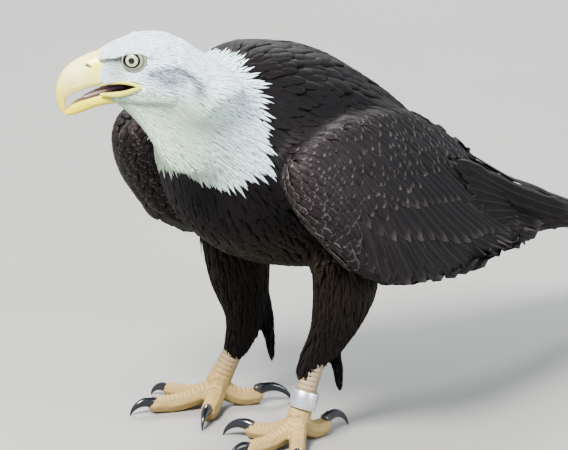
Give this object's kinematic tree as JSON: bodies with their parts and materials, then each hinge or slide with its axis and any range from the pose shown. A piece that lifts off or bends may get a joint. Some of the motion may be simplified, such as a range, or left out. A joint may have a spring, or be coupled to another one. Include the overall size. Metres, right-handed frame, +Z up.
{
  "type": "bald eagle",
  "caption": "Life-size standing bald eagle, head low and turned aside, bill open, wings folded, with a plain band on one leg.",
  "frame": {"origin": "centre of the bounding box's bottom, on the floor the bird stands on", "axes": "+X the way the body faces, +Y the bird's left, +Z up"},
  "size_m": [0.6628, 0.273, 0.401],
  "materials": {
    "white_feathers": "soft matt white feathers over flesh",
    "brown_feathers": "matt blackish brown feathers over flesh",
    "wing_feathers": "satin dark brown feathers with paler edges",
    "tail_feathers": "satin white feathers",
    "bill_horn": "smooth yellow horn",
    "tongue_skin": "moist dusky pink skin",
    "eye": "wet pale iris with a black pupil",
    "foot_skin": "scaled pale yellow skin",
    "claw_horn": "polished blue-black horn",
    "band_metal": "dull bare aluminium"
  },
  "bodies": {
    "root": {"head": "white_feathers", "neck": "white_feathers", "trunk": "brown_feathers", "tail": "tail_feathers", "wing_left": "wing_feathers", "wing_right": "wing_feathers", "thigh_left": "brown_feathers", "thigh_right": "brown_feathers", "bill_upper": "bill_horn", "bill_lower": "bill_horn", "tongue": "tongue_skin", "eye_left": "eye", "eye_right": "eye", "shank_left": "foot_skin", "shank_right": "foot_skin", "toe_inner_left": "foot_skin", "toe_middle_left": "foot_skin", "toe_outer_left": "foot_skin", "toe_hind_left": "foot_skin", "toe_inner_right": "foot_skin", "toe_middle_right": "foot_skin", "toe_outer_right": "foot_skin", "toe_hind_right": "foot_skin", "claw_inner_left": "claw_horn", "claw_middle_left": "claw_horn", "claw_outer_left": "claw_horn", "claw_hind_left": "claw_horn", "claw_inner_right": "claw_horn", "claw_middle_right": "claw_horn", "claw_outer_right": "claw_horn", "claw_hind_right": "claw_horn", "leg_band": "band_metal"}
  },
  "joints": []
}
